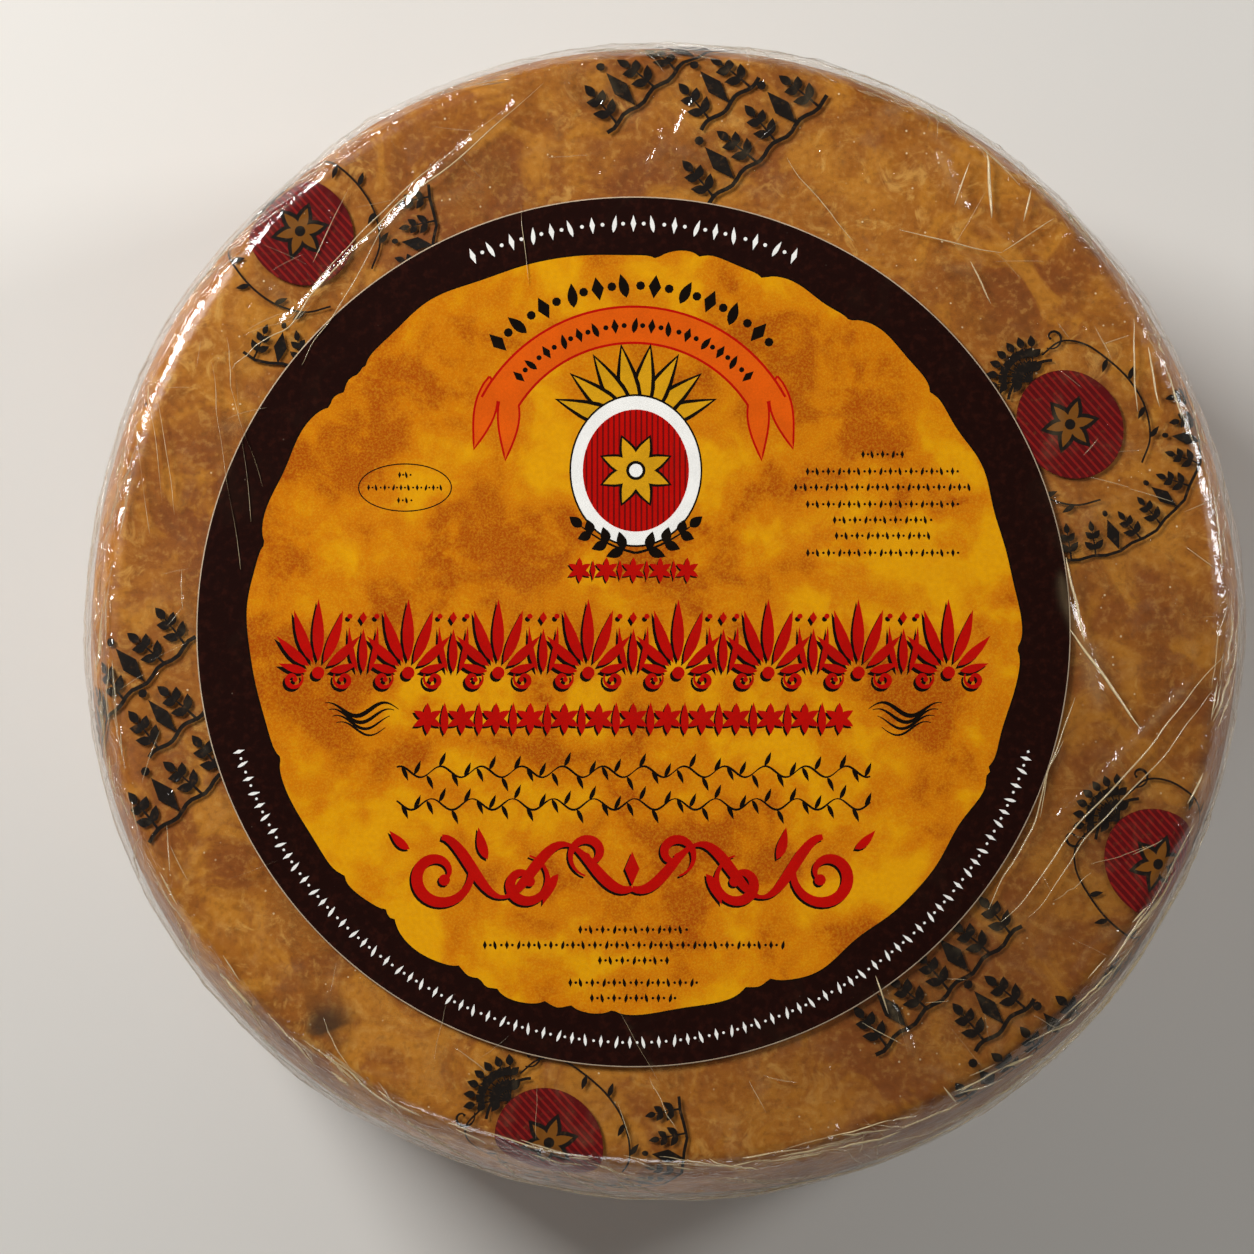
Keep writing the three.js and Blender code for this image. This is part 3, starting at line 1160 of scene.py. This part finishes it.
# the pouch's hair-thin creases, each a low ridge of doubled film that stands on it
creases = {
    "rise": 0.5,  # height of a ridge as a share of its width
    "spacing": 1.1,
    "gathered": -70,  # degrees round the wheel, where they are whitest
    "gathers": 90,  # radial ones under the wheel
    "bend": ((1.3, 13, 51), (0.35, 4, 52)),  # how they wander: mm, size, seed
    # chosen ones on the top: from, to, width, strength
    "long": (
        (-86, 37, -83, 17, 0.36, 1.0),
        (-84.5, 35, -80.5, 15, 0.28, 0.9),
        (-87.5, 30, -85, 12, 0.24, 0.8),
        (-76, 46, -69.5, 6, 0.22, 0.7),
        (-73, 45, -67, 20, 0.28, 0.8),
        (-70, 37, -68.5, 14, 0.2, 0.6),
        (77.8, 47.8, 77.5, 32, 0.3, 0.8),
        (80, 43, 81.5, 33, 0.36, 1.0),
        (83.7, 39, 85, 31, 0.3, 0.9),
        (-20, 87, -71, 39, 0.3, 0.8),
        (-27, 82, -64, 47, 0.22, 0.6),
        (-36, 75, -60, 40, 0.2, 0.5),
        (-52, 69, -58, 57, 0.26, 0.8),
        (92, -8, 54, -51, 0.3, 0.6),
        (90, -14, 58, -50, 0.24, 0.5),
        (65, -22, 52, -49, 0.26, 0.6),
        (67, -15, 60, -34, 0.24, 0.6),
        (66.5, 8, 69, -6, 0.5, 0.8),
        (66.9, -4, 77.3, -20, 0.55, 1.0),
        (53, 75, 53.7, 64, 0.6, 1.0),
        (50, 73, 47.5, 66, 0.34, 0.8),
        (60.4, 69, 59, 63.5, 0.4, 0.9),
        (38.5, 62, 55.6, 58.5, 0.28, 0.6),
        (55.6, 58.5, 64, 64, 0.28, 0.6),
        (50.4, 57, 53.7, 50, 0.34, 0.7),
        (20, 73.6, 31, 60.4, 0.22, 0.5),
        (-23.5, 66, -22.5, 53, 0.3, 0.6),
        (45, -78, 48, -82, 0.4, 0.9),
        (34, -60, 36, -66, 0.4, 0.8),
        (-7.7, -82, -5.7, -88, 0.34, 0.9),
        (-8, -66, -1, -78, 0.2, 0.5),
    ),
    # scattered ones: how many, distance of the start, length, slant (mean, spread), width, strength
    "scattered": (
        (70, (73, 90), (3, 11), (1.0, 1.2), (0.14, 0.28), (0.15, 0.6)),
        (190, (90.5, 94.5), (3, 13), (0.0, 0.22), (0.18, 0.42), (0.2, 0.8)),
        (90, (91, 100), (6, 22), (1.1, 0.5), (0.16, 0.36), (0.1, 0.6)),
        (150, (97, 172), (20, 70), (0.12, 0.2), (0.2, 0.45), (0.1, 0.6)),
    ),
    "haze": "eed8a8",
}


def creasePaths(shape):
    # runs and angles along each crease, with its width and strength
    rng = np.random.default_rng(61)
    paths = []
    for _ in range(creases["gathers"]):  # the film drawn together under the wheel
        outer, inner = rng.uniform(50, 86), rng.uniform(8, 34)
        run = shape["length"] - np.linspace(outer, inner, max(6, round((outer - inner) / 2)))
        angle = np.full(len(run), rng.uniform(0, 2 * math.pi))
        paths.append((run, angle, rng.uniform(0.4, 1.1), rng.uniform(0.3, 0.9)))
    for x0, y0, x1, y1, width, strength in creases["long"]:
        steps = max(5, round(math.hypot(x1 - x0, y1 - y0) / creases["spacing"]))
        share = np.linspace(0, 1, steps)
        x, y = x0 + (x1 - x0) * share, y0 + (y1 - y0) * share
        paths.append((np.hypot(x, y), np.unwrap(np.arctan2(y, x)), width, strength))
    for count, starts, sizes, lean, widths, strengths in creases["scattered"]:
        for _ in range(count):
            size, slant = rng.uniform(*sizes), rng.normal(*lean) * rng.choice((-1, 1))
            share = np.linspace(0, 1, max(5, round(size / creases["spacing"])))
            run = rng.uniform(*starts) + abs(math.sin(slant)) * size * share
            start = rng.uniform(0, 2 * math.pi)
            angle = start + math.cos(slant) * size * share / wheelRadius
            gathered = 0.6 + 0.4 * math.cos(start - math.radians(creases["gathered"]))
            paths.append((run, angle, rng.uniform(*widths), rng.uniform(*strengths) * gathered))
    return paths


def buildCreases():
    shape = section(pouch["gaps"])
    rows, faces, strengths = [], [], []
    first = 0
    for run, angle, width, strength in creasePaths(shape):
        girth = np.interp(run, shape["run"], shape["r"])
        spots = np.stack([angle * girth, run], axis=1)
        wide = np.column_stack([spots, np.zeros(len(run))])
        for amount, size, seed in creases["bend"]:
            spots[:, 1] += amount * cloud(wide, size, seed) * min(1, len(run) / 20)
        ahead = np.gradient(spots, axis=0)
        ahead /= np.maximum(np.linalg.norm(ahead, axis=1, keepdims=True), 1e-9)
        taper = np.sin(np.linspace(0.06, math.pi - 0.06, len(run))) ** 0.5
        for across, up in ((-0.5, -0.12), (0.0, creases["rise"] * width), (0.5, -0.12)):
            place = spots + np.column_stack([-ahead[:, 1], ahead[:, 0]]) * (across * width * taper)[:, None]
            rows.append(np.column_stack([place[:, 1], place[:, 0] / girth, up * taper]))
        n = len(run)
        left, crest, right = (list(range(first + k * n, first + (k + 1) * n)) for k in range(3))
        for i in range(n - 1):
            faces.append((left[i], crest[i], crest[i + 1], left[i + 1]))
            faces.append((crest[i], right[i], right[i + 1], crest[i + 1]))
            faces.append((right[i], left[i], left[i + 1], right[i + 1]))
        faces += [(left[0], right[0], crest[0]), (left[-1], crest[-1], right[-1])]
        strengths.append(np.full(3 * n, strength))
        first += 3 * n
    run, angle, up = np.concatenate(rows).T
    angle = (angle + math.pi) % (2 * math.pi) - math.pi
    base = onSection(shape, run, angle)
    lift, drop, _ = pouchLift(run, angle, base)
    place = onSection(shape, run, angle, lift + drop + swell(base) + up)
    place[:, 2] = np.maximum(place[:, 2], 0)
    piece = makeObject("pouchCreaseRidges", place, faces, [creaseMaterial()])
    addValues(piece, {"strength": np.concatenate(strengths)})
    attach(piece, "root")
    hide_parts("vacuum_pouch")
    print("crease faces", len(faces))


buildCreases()
print("creases ready")


# stage, camera, lights
stage = {
    "size": 5.0,  # metres
    "floor": ("d9d6d0", "c9c5be"),
    "walls": "f0ece4",
    # name, place and size in metres, watts
    "lights": (
        ("keyLight", (-0.52, 0.40, 0.60), (0.32, 0.32), 8),
        ("sideLight", (0.72, 0.25, 0.50), (0.16, 0.6), 3.2),
        ("frontLight", (-0.2, -0.85, 0.55), (0.6, 0.2), 1.7),
    ),
}
view = {
    "lens": 150,
    "distance": 898,
    "tilt": 5.0,  # degrees off straight down, towards the label's foot
    "aim": (-6.2, -0.05),  # where the camera looks, from the wheel's middle
}


def buildStage():
    g = Graph("stageFloor")
    plain, cloudy = (hue(code) for code in stage["floor"])
    tone = g.mix(g.noise(60, 2) * 0.12, plain, cloudy)
    material = g.finish(g.add("ShaderNodeBsdfPrincipled", {}, {"Base Color": tone, "Roughness": 0.85}))
    half = stage["size"] / 2 / mm
    corners = [(-half, -half, 0), (half, -half, 0), (half, half, 0), (-half, half, 0)]
    floor = makeObject("floor", corners, [(0, 1, 2, 3)], [material])


def buildCamera():
    data = bpy.data.cameras.new("camera")
    data.lens = view["lens"]
    data.sensor_width = 36
    data.clip_start = 0.01
    camera = bpy.data.objects.new("camera", data)
    bpy.context.scene.collection.objects.link(camera)
    tilt = math.radians(view["tilt"])
    aim = Vector((*view["aim"], wheelHeight / 2)) * mm
    camera.location = aim + Vector((0, -math.sin(tilt), math.cos(tilt))) * view["distance"] * mm
    camera.rotation_euler = (tilt, 0, 0)
    bpy.context.scene.camera = camera


def areaLight(name, place, size, power):
    data = bpy.data.lights.new(name, "AREA")
    data.shape = "RECTANGLE"
    data.size, data.size_y = size
    data.energy = power
    light = bpy.data.objects.new(name, data)
    bpy.context.scene.collection.objects.link(light)
    light.location = place
    aim = Vector((0, 0, 0.05)) - Vector(place)
    light.rotation_euler = aim.to_track_quat("-Z", "Y").to_euler()


def buildLights():
    for light in stage["lights"]:
        areaLight(*light)
    # pale walls under a dark ceiling
    g = Graph(bpy.data.worlds.new("world"))
    ahead = g.add("ShaderNodeTexCoord")
    height = g.add("ShaderNodeSeparateXYZ", {}, {0: ahead}, 2)
    strength = 0.03 + g.step(height, 0.7, 0.0) * 0.13
    walls = g.add("ShaderNodeBackground", {}, {"Color": hue(stage["walls"]), "Strength": strength})
    bpy.context.scene.world = g.finish(walls)
    bpy.context.scene.view_settings.view_transform = "Standard"


buildStage()
buildCamera()
buildLights()
